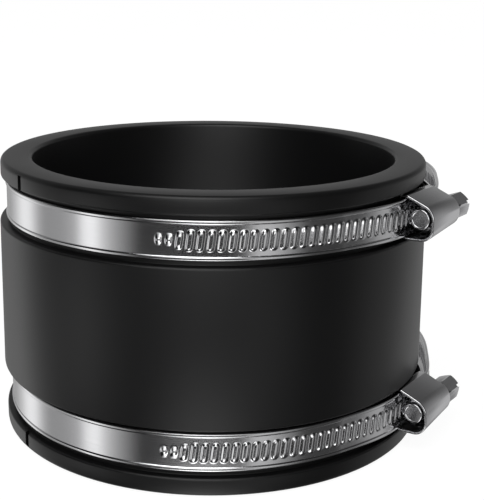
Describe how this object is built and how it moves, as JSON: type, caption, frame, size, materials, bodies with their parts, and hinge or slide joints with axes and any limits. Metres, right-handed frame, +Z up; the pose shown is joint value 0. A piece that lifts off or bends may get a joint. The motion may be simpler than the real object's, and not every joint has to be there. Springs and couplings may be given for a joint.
{
  "type": "flexible rubber pipe coupling",
  "caption": "Moulded black rubber sleeve that joins two pipe ends, held at each end by a steel worm-drive band clamp lying in a groove.",
  "frame": {"origin": "middle of the whole coupling's footprint, at the height of the sleeve's lower end face", "axes": "+Z up along the sleeve's bore, from the lower to the upper end; +X across the sleeve towards the two screw housings; +Y the way the screws' hex heads point, to within 12 degrees"},
  "size_m": [0.1664, 0.1532, 0.096],
  "materials": {
    "black_rubber": "satin moulded",
    "stainless_band": "bright rolled",
    "stainless_housing": "bright rolled",
    "plated_screw": "satin plated"
  },
  "bodies": {
    "coupling": {"sleeve": "black_rubber", "upper_band": "stainless_band", "upper_housing": "stainless_housing", "lower_band": "stainless_band", "lower_housing": "stainless_housing"},
    "upper_screw": {"upper_screw": "plated_screw"},
    "lower_screw": {"lower_screw": "plated_screw"}
  },
  "joints": [
    {"name": "upper_screw_turn", "type": "hinge", "parent": "coupling", "child": "upper_screw", "pos_m": [0.07405, -0.00994, 0.08205], "axis": [0.1685, 0.9857, 0], "continuous": true},
    {"name": "lower_screw_turn", "type": "hinge", "parent": "coupling", "child": "lower_screw", "pos_m": [0.07424, -0.00825, 0.01395], "axis": [0.1478, 0.989, 0], "continuous": true}
  ]
}
